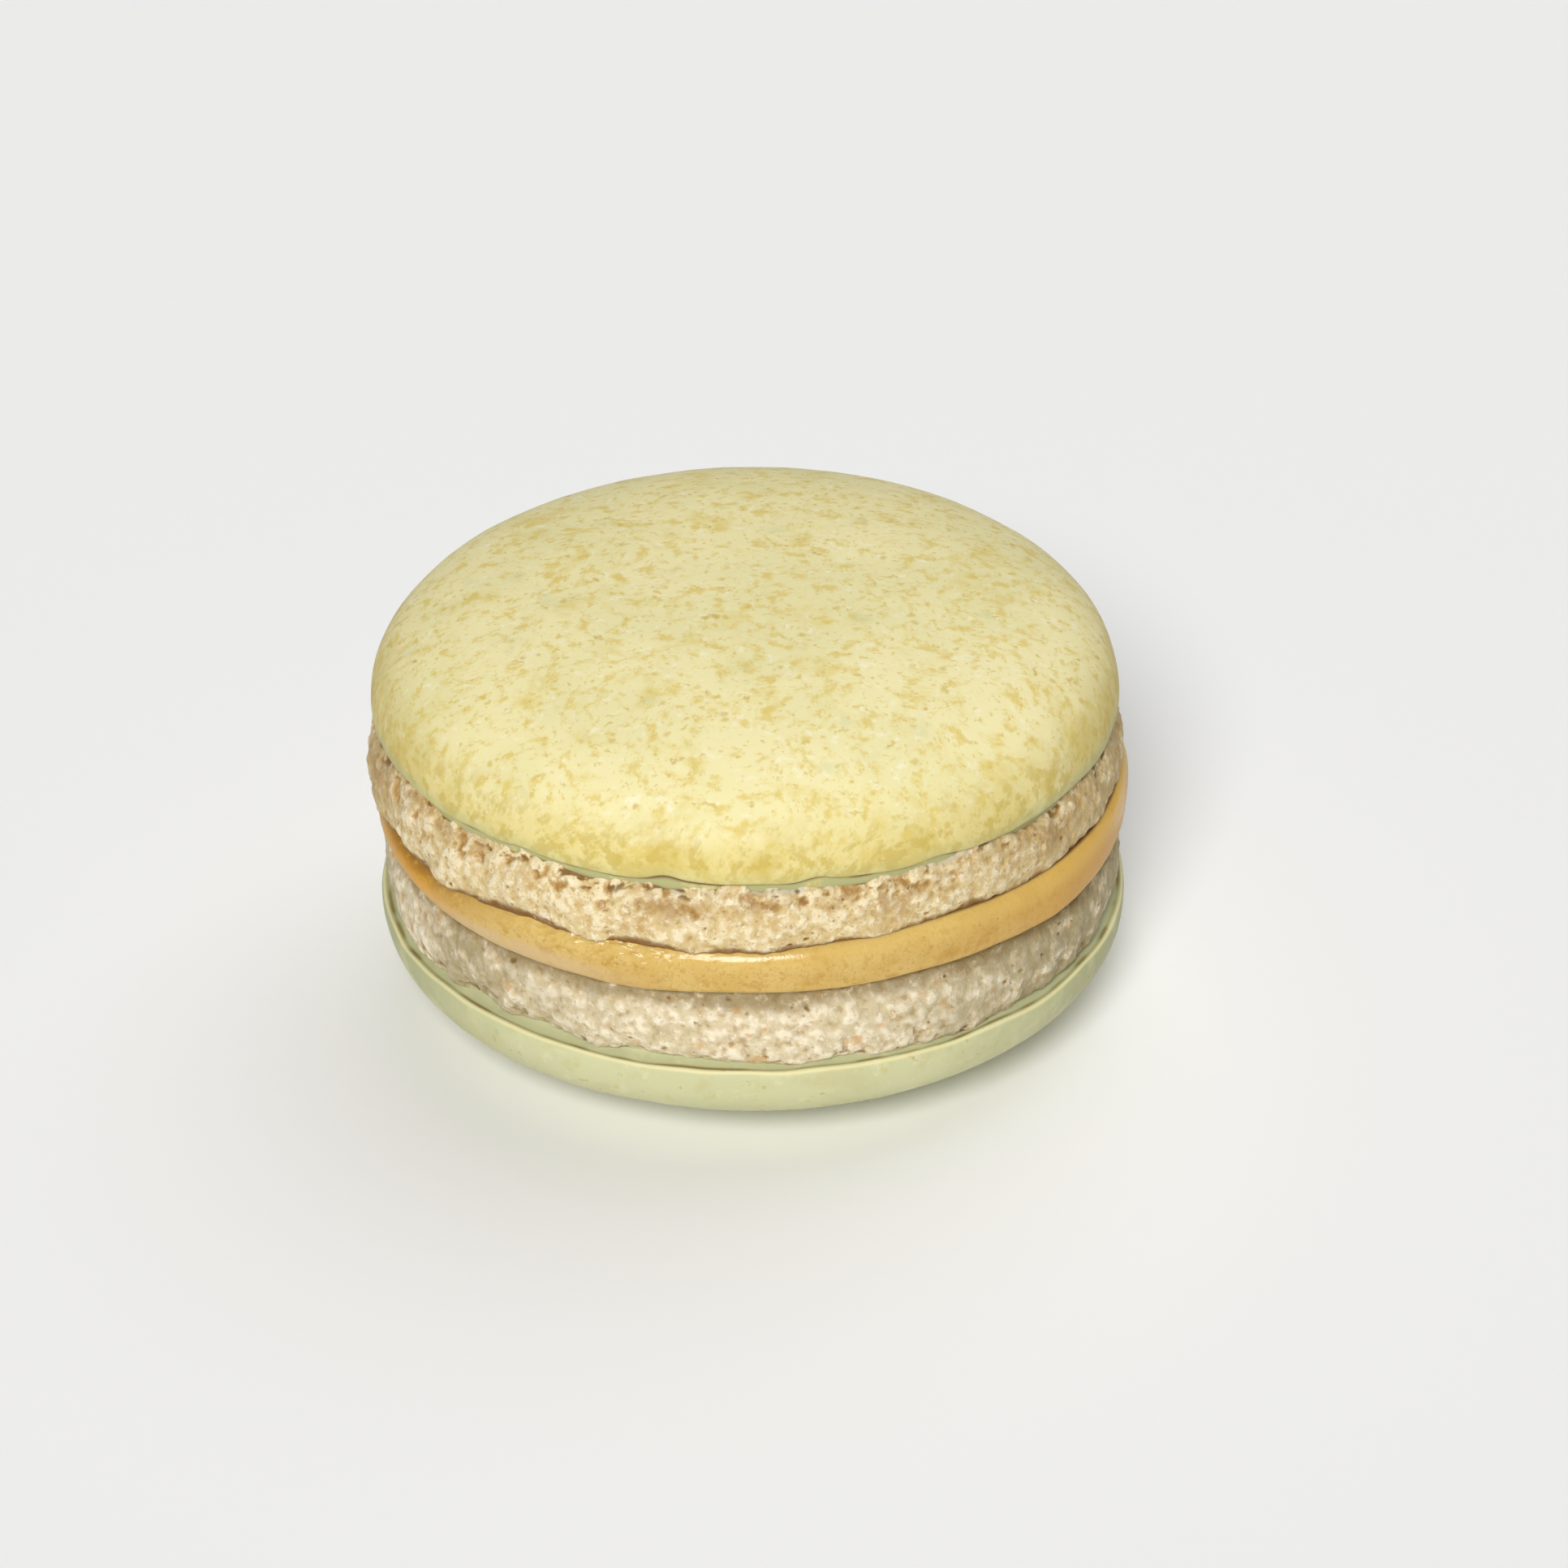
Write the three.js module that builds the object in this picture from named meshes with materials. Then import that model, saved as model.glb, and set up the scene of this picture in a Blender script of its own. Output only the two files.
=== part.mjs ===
// A French macaron: two almond meringue shells, each a smooth domed skin on a ragged foot,
// with a soft band of filling pressed between the two feet.
// Millimetres, +Z up. It stands on the crown of its lower shell, with the origin under its middle.
import * as THREE from "three";
import { ImprovedNoise } from "three/addons/math/ImprovedNoise.js";

// ---------- driving dimensions ----------

// The upper shell is described crown up, from its contact face at height 0.
const upperShell = {
  name: "shell_top",
  seed: 11,
  skinRadius: 22.72, // at the widest ring of the skin
  skinHeight: 4.8, // of that ring
  domeHeight: 7.45, // from there to the crown
  crownPower: 2.55, // how flat the crown is: 2 is an ellipse, more is flatter
  shoulderPower: 2.65, // how full the shoulder is, on the same scale
  lip: { tuckIn: 0.6, depth: 0.8 }, // the rolled edge of the skin, down to where the foot begins
  foot: { edge: 22.3, belly: 22.95, shoulder: 22.85, neck: 22.2 }, // radii, contact face to lip
  neckSwing: { by: 0.1, towards: 45 }, // the neck lies off centre, by mm towards an angle
  offCentre: -0.2, // the whole shell, along X
  contactTilt: { x: 0.022, y: 0 }, // slopes: the contact face follows the filling, the lip is level
  crownTilt: { x: 0.018, y: 0.034 }, // and the dome rises to the right and to the back
  flatRadius: 0,
};

// The lower shell is described crown up as well, and turned over about X when it is placed.
const lowerShell = {
  name: "shell_bottom",
  seed: 37,
  skinRadius: 23.1,
  skinHeight: 5.45,
  domeHeight: 6.6,
  crownPower: 2.65,
  shoulderPower: 2.42,
  lip: { tuckIn: 1.0, depth: 0.95 },
  foot: { edge: 22.2, belly: 22.75, shoulder: 22.55, neck: 22.0 },
  neckSwing: { by: 0.5, towards: -10 },
  offCentre: 0.25,
  contactTilt: { x: 0, y: 0 },
  crownTilt: { x: -0.006, y: 0 },
  flatRadius: 9, // the spot that it stands on
};

const filling = {
  thickness: 3.0, // at the axis
  bellyRadius: 23.05,
  edgeRadius: 22.0, // where it meets either foot
  ripple: 0.3, // wander of the belly
  rippleSize: 6,
  offCentre: 0.2,
};

// The ragged side of a foot: coarse lumps with finer ones on them.
const crags = { depth: 0.62, size: 2.1 };
const grains = { depth: 0.36, size: 1.15 };

// The skin is smooth, but neither its dome nor its edge is true.
const sag = { depth: 0.22, size: 10 };
const lipWave = { depth: 0.3, size: 3.4 };

const seam = 0.1; // left between a foot and the filling
const roundCount = 160; // points round the foot, the lip and the filling

// ---------- unevenness ----------

const perlin = new ImprovedNoise();

// Smooth noise whose lumps are `size` apart and stand `depth` deep. Each seed gives another pattern.
function lumps({ depth, size }, x, y, z, seed) {
  return depth * perlin.noise(x / size + seed * 3.7, y / size + seed * 1.3, z / size + seed * 2.1);
}

// ---------- rings and solids ----------

// A row is one ring of a round solid, with `count` points at a radius and a height. It may lean by
// a tilt of two slopes, and `shape` returns how much further out and up a point of it lies.
function ringOf(row, turn) {
  const tilt = row.tilt ?? { x: 0, y: 0 };
  const ring = [];
  for (let i = 0; i < row.count; i++) {
    const angle = (2 * Math.PI * (i + turn)) / row.count;
    const x = Math.cos(angle) * row.radius;
    const y = Math.sin(angle) * row.radius;
    const move = row.shape ? row.shape(x, y, row.height) : { out: 0, up: 0 };
    const out = row.radius > 0 ? 1 + move.out / row.radius : 1;
    ring.push(new THREE.Vector3(x * out, y * out, row.height + tilt.x * x + tilt.y * y + move.up));
  }
  return ring;
}

// Joins two rings, which may have different numbers of points, by a band of triangles.
function joinRings(lower, upper, faces) {
  const pointOf = (ring, k) => ring.start + (k % ring.count);
  const lowerSteps = lower.count === 1 ? 0 : lower.count;
  const upperSteps = upper.count === 1 ? 0 : upper.count;
  let i = 0;
  let j = 0;
  while (i < lowerSteps || j < upperSteps) {
    const nextLower = (i + 1 + lower.turn) / lower.count;
    const nextUpper = (j + 1 + upper.turn) / upper.count;
    if (i < lowerSteps && (j >= upperSteps || nextLower <= nextUpper)) {
      faces.push(pointOf(lower, i), pointOf(lower, i + 1), pointOf(upper, j));
      i += 1;
    } else {
      faces.push(pointOf(lower, i), pointOf(upper, j + 1), pointOf(upper, j));
      j += 1;
    }
  }
}

// A closed solid from rows that run from its lower pole, up its outside, to its upper pole.
// Every other ring is turned by half a step, so that the triangles lean neither way.
function solidFromRows(rows) {
  const points = [];
  const faces = [];
  const rings = rows.map((row, index) => {
    const turn = row.count === 1 ? 0 : (index % 2) / 2;
    const ring = { start: points.length, count: row.count, turn };
    points.push(...ringOf(row, turn));
    return ring;
  });
  for (let i = 1; i < rings.length; i++) joinRings(rings[i - 1], rings[i], faces);
  const geometry = new THREE.BufferGeometry().setFromPoints(points);
  geometry.setIndex(faces);
  geometry.computeVertexNormals();
  return geometry;
}

// The rows of a plain face, from its middle to near its edge.
function faceRows(edgeRadius, height, tilt) {
  return [
    { radius: 0, height, tilt, count: 1 },
    { radius: edgeRadius * 0.5, height, tilt, count: 40 },
    { radius: edgeRadius * 0.8, height, tilt, count: 80 },
  ];
}

// ---------- shells ----------

function scaledTilt({ x, y }, share) {
  return { x: x * share, y: y * share };
}

// The foot's side, from the contact face up to the neck under the skin's edge.
function footRows(shell) {
  const top = shell.skinHeight - shell.lip.depth;
  const { edge, belly, shoulder, neck } = shell.foot;
  const outline = new THREE.SplineCurve([
    new THREE.Vector2(edge, 0),
    new THREE.Vector2(belly, top * 0.28),
    new THREE.Vector2(shoulder, top * 0.62),
    new THREE.Vector2(neck, top),
  ]);
  const swingAngle = THREE.MathUtils.degToRad(shell.neckSwing.towards);
  const bandCount = 7;
  return outline.getSpacedPoints(bandCount).map(({ x: radius, y: height }, index) => {
    const share = height / top;
    const ragged = index === 0 || index === bandCount ? 0.4 : 1; // both edges are squeezed even
    const shape = (x, y, z) => {
      const relief = lumps(crags, x, y, z, shell.seed) + lumps(grains, x, y, z, shell.seed + 5);
      const swing = (x * Math.cos(swingAngle) + y * Math.sin(swingAngle)) / radius;
      return {
        out: relief * ragged + swing * shell.neckSwing.by * share,
        up: lumps(lipWave, x, y, 0, shell.seed + 9) * share ** 4, // the neck follows the lip
      };
    };
    const tilt = scaledTilt(shell.contactTilt, 1 - share);
    return { radius, height, tilt, count: roundCount, shape };
  });
}

// The skin's rolled edge, from the foot's neck out to the widest ring.
function lipRows(shell) {
  const { tuckIn, depth } = shell.lip;
  const steps = [
    { inBy: 0.7, downBy: 0.78 },
    { inBy: 0.3, downBy: 0.45 },
    { inBy: 0, downBy: 0 },
  ];
  const shape = (x, y) => {
    const wave = lumps(lipWave, x, y, 0, shell.seed + 9);
    return { out: wave * 0.5, up: wave };
  };
  return steps.map(({ inBy, downBy }) => ({
    radius: shell.skinRadius - tuckIn * inBy,
    height: shell.skinHeight - depth * downBy,
    count: roundCount,
    shape,
  }));
}

// The dome from its widest ring to its crown, with fewer points as the rings get smaller.
function domeRows(shell) {
  const steps = [
    { turn: 13, count: roundCount },
    { turn: 24, count: 140 },
    { turn: 36, count: 120 },
    { turn: 48, count: 100 },
    { turn: 60, count: 76 },
    { turn: 71, count: 52 },
    { turn: 81, count: 28 },
    { turn: 90, count: 1 },
  ];
  const shape = (x, y) => ({ out: 0, up: lumps(sag, x, y, 0, shell.seed + 2) });
  const rows = steps.map(({ turn, count }) => {
    const angle = THREE.MathUtils.degToRad(turn);
    const radius = shell.skinRadius * Math.max(0, Math.cos(angle)) ** (2 / shell.shoulderPower);
    const rise = shell.domeHeight * Math.sin(angle) ** (2 / shell.crownPower);
    const tilt = scaledTilt(shell.crownTilt, rise / shell.domeHeight);
    return { radius, height: shell.skinHeight + rise, tilt, count, shape };
  });
  if (!shell.flatRadius) return rows;
  const crown = shell.skinHeight + shell.domeHeight;
  return [
    ...rows.filter(({ radius }) => radius > shell.flatRadius + 2),
    { radius: shell.flatRadius, height: crown, count: 48 },
    { radius: 0, height: crown, count: 1 },
  ];
}

// One shell standing on its contact face, which is at height 0.
function shellGeometry(shell) {
  return solidFromRows([
    ...faceRows(shell.foot.edge, 0, shell.contactTilt),
    ...footRows(shell),
    ...lipRows(shell),
    ...domeRows(shell),
  ]);
}

// ---------- filling ----------

// The filling from its level lower face to its upper one, which leans as the upper shell's does.
function fillingGeometry() {
  const height = filling.thickness - 2 * seam;
  const upperTilt = upperShell.contactTilt;
  const bandCount = 6;
  const sideRows = [];
  for (let i = 0; i <= bandCount; i++) {
    const share = i / bandCount;
    const bulge = Math.sin(Math.PI * share) ** 0.6;
    sideRows.push({
      radius: THREE.MathUtils.lerp(filling.edgeRadius, filling.bellyRadius, bulge),
      height: height * share,
      tilt: scaledTilt(upperTilt, share),
      count: roundCount,
      shape: (x, y, z) => ({
        out: bulge * lumps({ depth: filling.ripple, size: filling.rippleSize }, x, y, z * 2, 3),
        up: 0,
      }),
    });
  }
  return solidFromRows([
    ...faceRows(filling.edgeRadius, 0, { x: 0, y: 0 }),
    ...sideRows,
    ...faceRows(filling.edgeRadius, height, upperTilt).reverse(),
  ]);
}

// ---------- the macaron ----------

const meringue = new THREE.MeshStandardMaterial({
  name: "pistachio_meringue",
  color: "#e8dfa2",
  roughness: 0.62,
  metalness: 0,
});
const cream = new THREE.MeshStandardMaterial({
  name: "caramel_cream",
  color: "#dcb65f",
  roughness: 0.38,
  metalness: 0,
});

function namedMesh(name, geometry, material) {
  const mesh = new THREE.Mesh(geometry, material);
  mesh.name = name;
  return mesh;
}

const lowerContact = lowerShell.domeHeight + lowerShell.skinHeight;

const bottom = namedMesh(lowerShell.name, shellGeometry(lowerShell), meringue);
bottom.rotation.x = Math.PI;
bottom.position.set(lowerShell.offCentre, 0, lowerContact);

const middle = namedMesh("filling", fillingGeometry(), cream);
middle.position.set(filling.offCentre, 0, lowerContact + seam);

const top = namedMesh(upperShell.name, shellGeometry(upperShell), meringue);
top.position.set(upperShell.offCentre, 0, lowerContact + filling.thickness);

const macaron = new THREE.Group();
macaron.name = "macaron";
macaron.add(bottom, middle, top);

// The ragged feet make the footprint a little lopsided, so the origin is moved under its middle.
const footprint = new THREE.Box3().setFromObject(macaron).getCenter(new THREE.Vector3());
macaron.position.set(-footprint.x, -footprint.y, 0);

export default macaron;
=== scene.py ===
# A French macaron on a pale table: two meringue shells with ragged feet and a caramel filling.
# Lengths in the dictionaries are millimetres, heights are above the table, and angles are degrees
# round the axis, from +X towards +Y, so that 270 faces the camera.
import math

import bpy
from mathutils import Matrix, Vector, noise


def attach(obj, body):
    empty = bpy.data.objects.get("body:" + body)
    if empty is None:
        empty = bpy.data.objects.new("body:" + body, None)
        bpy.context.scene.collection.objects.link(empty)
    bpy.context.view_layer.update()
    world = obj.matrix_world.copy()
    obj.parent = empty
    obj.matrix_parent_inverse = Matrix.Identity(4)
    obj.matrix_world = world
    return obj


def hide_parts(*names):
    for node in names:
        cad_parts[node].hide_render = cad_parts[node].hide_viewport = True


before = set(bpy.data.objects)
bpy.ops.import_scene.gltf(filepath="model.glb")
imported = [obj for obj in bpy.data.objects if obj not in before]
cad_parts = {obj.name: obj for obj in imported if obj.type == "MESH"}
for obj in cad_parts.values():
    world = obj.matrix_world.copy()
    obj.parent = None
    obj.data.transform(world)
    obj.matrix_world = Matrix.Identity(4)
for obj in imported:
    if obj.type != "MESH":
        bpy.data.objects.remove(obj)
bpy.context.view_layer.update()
print("frame loaded:", sorted(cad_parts))

mm = 0.001
scene = bpy.context.scene


# Turns an sRGB hex colour to linear, along the sRGB curve.
def linearColour(hexColour):
    channels = [int(hexColour[i:i + 2], 16) / 255 for i in (1, 3, 5)]
    return [c / 12.92 if c <= 0.04045 else ((c + 0.055) / 1.055) ** 2.4 for c in channels] + [1.0]


# Adds one node, sets its properties, and fills its inputs with values, with other nodes' first
# outputs, or with the output that is given.
def addNode(tree, kind, inputs=None, **settings):
    node = tree.nodes.new(kind)
    for name, value in settings.items():
        setattr(node, name, value)
    for name, value in (inputs or {}).items():
        if isinstance(value, bpy.types.Node):
            value = value.outputs[0]
        if isinstance(value, bpy.types.NodeSocket):
            tree.links.new(value, node.inputs[name])
        else:
            node.inputs[name].default_value = value
    return node


def deselectAll():
    bpy.ops.object.select_all(action="DESELECT")


# Rises from 0 at low to 1 at high. It falls where low is the larger.
def smoothStep(low, high, value):
    share = min(1, max(0, (value - low) / (high - low)))
    return share * share * (3 - 2 * share)


# A bump of height 1 at middle.
def hump(value, middle, width):
    return math.exp(-((value - middle) / width) ** 2)


# The same round the axis, where 359 lies beside 0.
def roundHump(angle, middle, width):
    return hump((angle - middle + 180) % 360, 180, width)


# A value that changes smoothly from point to point round the axis. A point is (angle, value).
def alongRound(points, angle):
    angle %= 360
    closed = [(points[-1][0] - 360, points[-1][1])] + list(points) + [(points[0][0] + 360, points[0][1])]
    for (startAngle, start), (endAngle, end) in zip(closed, closed[1:]):
        if angle <= endAngle:
            return start + (end - start) * smoothStep(startAngle, endAngle, angle)


camera = {
    "aim": (2.18, 0.07, 12.9),
    "distance": 260,
    "elevation": 30.3,
    "viewWidth": 96.6,      # what the frame spans at the aim point
    "sensorWidth": 36,
    "clipStart": 10,
}


def placeCamera(c):
    tilt = math.radians(c["elevation"])
    x, y, z = c["aim"]
    place = (x, y - c["distance"] * math.cos(tilt), z + c["distance"] * math.sin(tilt))
    bpy.ops.object.camera_add(location=[v * mm for v in place], rotation=(math.pi / 2 - tilt, 0, 0))
    lens = bpy.context.object.data
    lens.sensor_width = c["sensorWidth"]
    lens.lens = c["sensorWidth"] * c["distance"] / c["viewWidth"]
    lens.clip_start = c["clipStart"] * mm
    scene.camera = bpy.context.object


placeCamera(camera)
print("camera placed")


# Starts with a circle and extrudes it ring by ring. A ring is (radius, height).
def extrudeRings(name, rings, sides, centre):
    deselectAll()
    x, y = centre
    radius, height = rings[0]
    bpy.ops.mesh.primitive_circle_add(
        vertices=sides, radius=radius * mm, location=(x * mm, y * mm, height * mm))
    piece = bpy.context.object
    piece.name = name
    bpy.ops.object.transform_apply(location=True, rotation=True, scale=True)
    bpy.ops.object.mode_set(mode="EDIT")
    bpy.ops.mesh.select_mode(type="EDGE")
    bpy.ops.mesh.select_all(action="SELECT")
    for (r0, h0), (r1, h1) in zip(rings, rings[1:]):
        bpy.ops.mesh.extrude_region_move(TRANSFORM_OT_translate={"value": (0, 0, (h1 - h0) * mm)})
        bpy.ops.transform.resize(value=(r1 / r0, r1 / r0, 1), center_override=(x * mm, y * mm, h1 * mm))
    return piece


def applyModifier(piece, modifier):
    bpy.context.view_layer.objects.active = piece
    bpy.ops.object.modifier_apply(modifier=modifier.name)


# Rounds the rings off, then closes the ends that are still open, out of sight inside the biscuit.
def smoothAndClose(piece, levels):
    bpy.ops.object.mode_set(mode="OBJECT")
    modifier = piece.modifiers.new("subdivision", "SUBSURF")
    modifier.levels = modifier.render_levels = levels
    applyModifier(piece, modifier)
    bpy.ops.object.mode_set(mode="EDIT")
    bpy.ops.mesh.select_all(action="SELECT")
    bpy.ops.mesh.fill_holes(sides=0)
    bpy.ops.object.mode_set(mode="OBJECT")
    faceOutward(piece)
    piece.data.shade_smooth()


def faceOutward(piece):
    bpy.ops.object.mode_set(mode="EDIT")
    bpy.ops.mesh.select_all(action="SELECT")
    bpy.ops.mesh.normals_make_consistent(inside=False)
    bpy.ops.object.mode_set(mode="OBJECT")


# Calls move(angle, radius, height) for each point of a round piece. It returns the new radius and
# height, and one value for each named attribute.
def reshape(piece, centre, move, attributes=()):
    x, y = (v * mm for v in centre)
    rows = []
    for vertex in piece.data.vertices:
        dx, dy = vertex.co.x - x, vertex.co.y - y
        radius = math.hypot(dx, dy)
        angle = math.degrees(math.atan2(dy, dx)) % 360
        newRadius, newHeight, *values = move(angle, radius / mm, vertex.co.z / mm)
        grow = newRadius * mm / radius if radius > 0 else 1
        vertex.co = (x + dx * grow, y + dy * grow, newHeight * mm)
        rows.append(values)
    for index, name in enumerate(attributes):
        layer = piece.data.attributes.new(name, "FLOAT", "POINT")
        layer.data.foreach_set("value", [values[index] for values in rows])


# A relief is a geometry node tree that moves each point along its normal. Patterns are sized in
# millimetres. It starts with the points' places and with what reshape kept on them.
def startRelief(name, attributes=()):
    tree = bpy.data.node_groups.new(name, "GeometryNodeTree")
    tree.interface.new_socket("Geometry", in_out="INPUT", socket_type="NodeSocketGeometry")
    tree.interface.new_socket("Geometry", in_out="OUTPUT", socket_type="NodeSocketGeometry")
    start = addNode(tree, "NodeGroupInput")
    inMetres = addNode(tree, "GeometryNodeInputPosition")
    place = addNode(tree, "ShaderNodeVectorMath", {0: inMetres, "Scale": 1 / mm}, operation="SCALE")
    values = {kept: addNode(tree, "GeometryNodeInputNamedAttribute", {"Name": kept}, data_type="FLOAT")
              for kept in attributes}
    return tree, start, place, values


# Adds a noise to a height: plus and minus about `depth` over lumps of `size`.
def addLumps(tree, place, layer, height=0.0):
    pattern = addNode(tree, "ShaderNodeTexNoise",
                      {"Vector": place, "Scale": 1 / layer["size"], "Detail": layer.get("detail", 1),
                       "Roughness": layer.get("roughness", 0.5)})
    centred = addNode(tree, "ShaderNodeMath", {0: pattern, 1: 0.5}, operation="SUBTRACT")
    return addNode(tree, "ShaderNodeMath", {0: centred, 1: layer["depth"] * 2, 2: height},
                   operation="MULTIPLY_ADD")


# Adds thin folds, where a noise passes its middle.
def addFolds(tree, place, layer, height, mask):
    pattern = addNode(tree, "ShaderNodeTexNoise", {"Vector": place, "Scale": 1 / layer["size"], "Detail": 1})
    centred = addNode(tree, "ShaderNodeMath", {0: pattern, 1: 0.5}, operation="SUBTRACT")
    away = addNode(tree, "ShaderNodeMath", {0: centred}, operation="ABSOLUTE")
    fold = addNode(tree, "ShaderNodeMapRange",
                   {"Value": away, "From Min": layer["width"], "From Max": 0.0, "To Max": layer["height"]},
                   interpolation_type="SMOOTHSTEP")
    return addNode(tree, "ShaderNodeMath", {0: fold, 1: mask, 2: height}, operation="MULTIPLY_ADD")


# Adds rounded puffs about `spacing` apart, with soft dips between them.
def addPuffs(tree, place, layer, height):
    cells = addNode(tree, "ShaderNodeTexVoronoi",
                    {"Vector": place, "Scale": 1 / layer["spacing"], "Smoothness": layer["softness"]},
                    feature="SMOOTH_F1")
    dip = addNode(tree, "ShaderNodeMath", {0: cells.outputs["Distance"], 1: layer["middle"]},
                  operation="SUBTRACT")
    return addNode(tree, "ShaderNodeMath", {0: dip, 1: -layer["depth"], 2: height}, operation="MULTIPLY_ADD")


# Small holes: 1 at the middle of each hole, and 0 outside it.
def pinholes(tree, place, holes):
    cells = addNode(tree, "ShaderNodeTexVoronoi", {"Vector": place, "Scale": 1 / holes["spacing"]})
    inside = addNode(tree, "ShaderNodeMapRange",
                     {"Value": cells.outputs["Distance"], "From Min": holes["radius"] / holes["spacing"],
                      "From Max": 0.0}, interpolation_type="SMOOTHSTEP")
    draw = addNode(tree, "ShaderNodeSeparateXYZ", {0: cells.outputs["Color"]})
    chosen = addNode(tree, "ShaderNodeMath", {0: draw, 1: holes["share"]}, operation="LESS_THAN")
    return addNode(tree, "ShaderNodeMath", {0: inside, 1: chosen}, operation="MULTIPLY")


# Pushes a pattern's places about, so that it looks less regular.
def warpPlace(tree, place, warp):
    push = addNode(tree, "ShaderNodeTexNoise", {"Vector": place, "Scale": 1 / warp["size"], "Detail": 1})
    centred = addNode(tree, "ShaderNodeVectorMath", {0: push.outputs["Color"], 1: (0.5, 0.5, 0.5)},
                      operation="SUBTRACT")
    scaled = addNode(tree, "ShaderNodeVectorMath", {0: centred, "Scale": warp["by"] * 2}, operation="SCALE")
    return addNode(tree, "ShaderNodeVectorMath", {0: place, 1: scaled}, operation="ADD")


blurRounds = 20     # how many rounds of blurring give the level around a point


# Keeps the height and the other patterns on the mesh for its material, with how proud each point
# stands of those around it, and then moves the points out by the height.
def applyRelief(piece, tree, geometry, height, patterns=None):
    for name, value in {**(patterns or {}), "relief": height}.items():
        geometry = addNode(tree, "GeometryNodeStoreNamedAttribute",
                           {"Geometry": geometry, "Name": name, "Value": value}, data_type="FLOAT")
    relief = addNode(tree, "GeometryNodeInputNamedAttribute", {"Name": "relief"}, data_type="FLOAT")
    level = addNode(tree, "GeometryNodeBlurAttribute", {"Value": relief, "Iterations": blurRounds},
                    data_type="FLOAT")
    proud = addNode(tree, "ShaderNodeMath", {0: relief, 1: level}, operation="SUBTRACT")
    geometry = addNode(tree, "GeometryNodeStoreNamedAttribute",
                       {"Geometry": geometry, "Name": "proud", "Value": proud}, data_type="FLOAT")
    inMetres = addNode(tree, "ShaderNodeMath", {0: relief, 1: mm}, operation="MULTIPLY")
    offset = addNode(tree, "ShaderNodeVectorMath",
                     {0: addNode(tree, "GeometryNodeInputNormal"), "Scale": inMetres}, operation="SCALE")
    moved = addNode(tree, "GeometryNodeSetPosition", {"Geometry": geometry, "Offset": offset})
    addNode(tree, "NodeGroupOutput", {0: moved})
    modifier = piece.modifiers.new("relief", "NODES")
    modifier.node_group = tree
    applyModifier(piece, modifier)


def dressPiece(piece, shape, material):
    piece.data.materials.clear()
    piece.data.materials.append(material)
    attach(piece, "root")
    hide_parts(shape["node"])
    print("made", piece.name, len(piece.data.polygons), "faces")


# Starts a material with the place in millimetres and with the values that were kept on the mesh.
def newMaterial(name, attributes=()):
    material = bpy.data.materials.new(name)
    material.use_nodes = True
    tree = material.node_tree
    tree.nodes.clear()
    coords = addNode(tree, "ShaderNodeTexCoord")
    place = addNode(tree, "ShaderNodeMapping", {"Vector": coords.outputs["Object"], "Scale": [1 / mm] * 3})
    values = {kept: addNode(tree, "ShaderNodeAttribute", attribute_name=kept).outputs["Fac"]
              for kept in attributes}
    return material, tree, place, values


# Lays a tint over a colour, from none where the mask is at low to its full strength at high.
def tinted(tree, colour, tint, strength, mask, low=0.0, high=1.0):
    amount = addNode(tree, "ShaderNodeMapRange",
                     {"Value": mask, "From Min": low, "From Max": high, "To Max": strength},
                     interpolation_type="SMOOTHSTEP")
    mixed = addNode(tree, "ShaderNodeMix", {0: amount, 6: colour, 7: linearColour(tint)}, data_type="RGBA")
    return mixed.outputs[2]


patchStep = 19          # shifts each patch of a list this much further, so that none repeats another
patchRoughness = 0.6    # how ragged all patches are


# Lays patches over a colour, as far as the mask lets them. A patch is (size, detail, low, high, tint,
# strength), where its noise shows nothing at low and the tint at high.
def mottled(tree, colour, place, patches, seed, mask=1.0):
    for index, (size, detail, low, high, tint, strength) in enumerate(patches):
        shift = seed + index * patchStep
        spot = addNode(tree, "ShaderNodeMapping", {"Vector": place, "Location": (shift, shift / 2, -shift)})
        pattern = addNode(tree, "ShaderNodeTexNoise",
                          {"Vector": spot, "Scale": 1 / size, "Detail": detail, "Roughness": patchRoughness})
        shown = addNode(tree, "ShaderNodeMapRange", {"Value": pattern, "From Min": low, "From Max": high},
                        interpolation_type="SMOOTHSTEP")
        masked = addNode(tree, "ShaderNodeMath", {0: shown, 1: mask}, operation="MULTIPLY")
        colour = tinted(tree, colour, tint, strength, masked)
    return colour


# A surface that lets some light in, with a fine grain: size and depth in millimetres.
def finishSurface(tree, place, colour, roughness, finish):
    size, detail, depth = finish["grain"]
    pattern = addNode(tree, "ShaderNodeTexNoise", {"Vector": place, "Scale": 1 / size, "Detail": detail})
    normal = addNode(tree, "ShaderNodeBump", {"Height": pattern, "Strength": 1.0, "Distance": depth * mm})
    shader = addNode(tree, "ShaderNodeBsdfPrincipled",
                     {"Base Color": colour, "Roughness": roughness, "Normal": normal,
                      "Specular IOR Level": finish["gloss"], "Subsurface Weight": finish["letsIn"],
                      "Subsurface Radius": finish["reach"], "Subsurface Scale": finish["reachScale"] * mm})
    addNode(tree, "ShaderNodeOutputMaterial", {0: shader})


# How much darker both skins are round their sides: painted shade where less light reaches them, partly a
# browner bake: (angle, share).
shadedAndBakedSides = ((0, 1.0), (40, 0.5), (90, 0.3), (140, 0.5), (180, 0.9), (205, 0.8), (230, 0.3), (250, 0.0),
              (285, 0.0), (315, 0.45), (335, 0.95))

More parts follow.
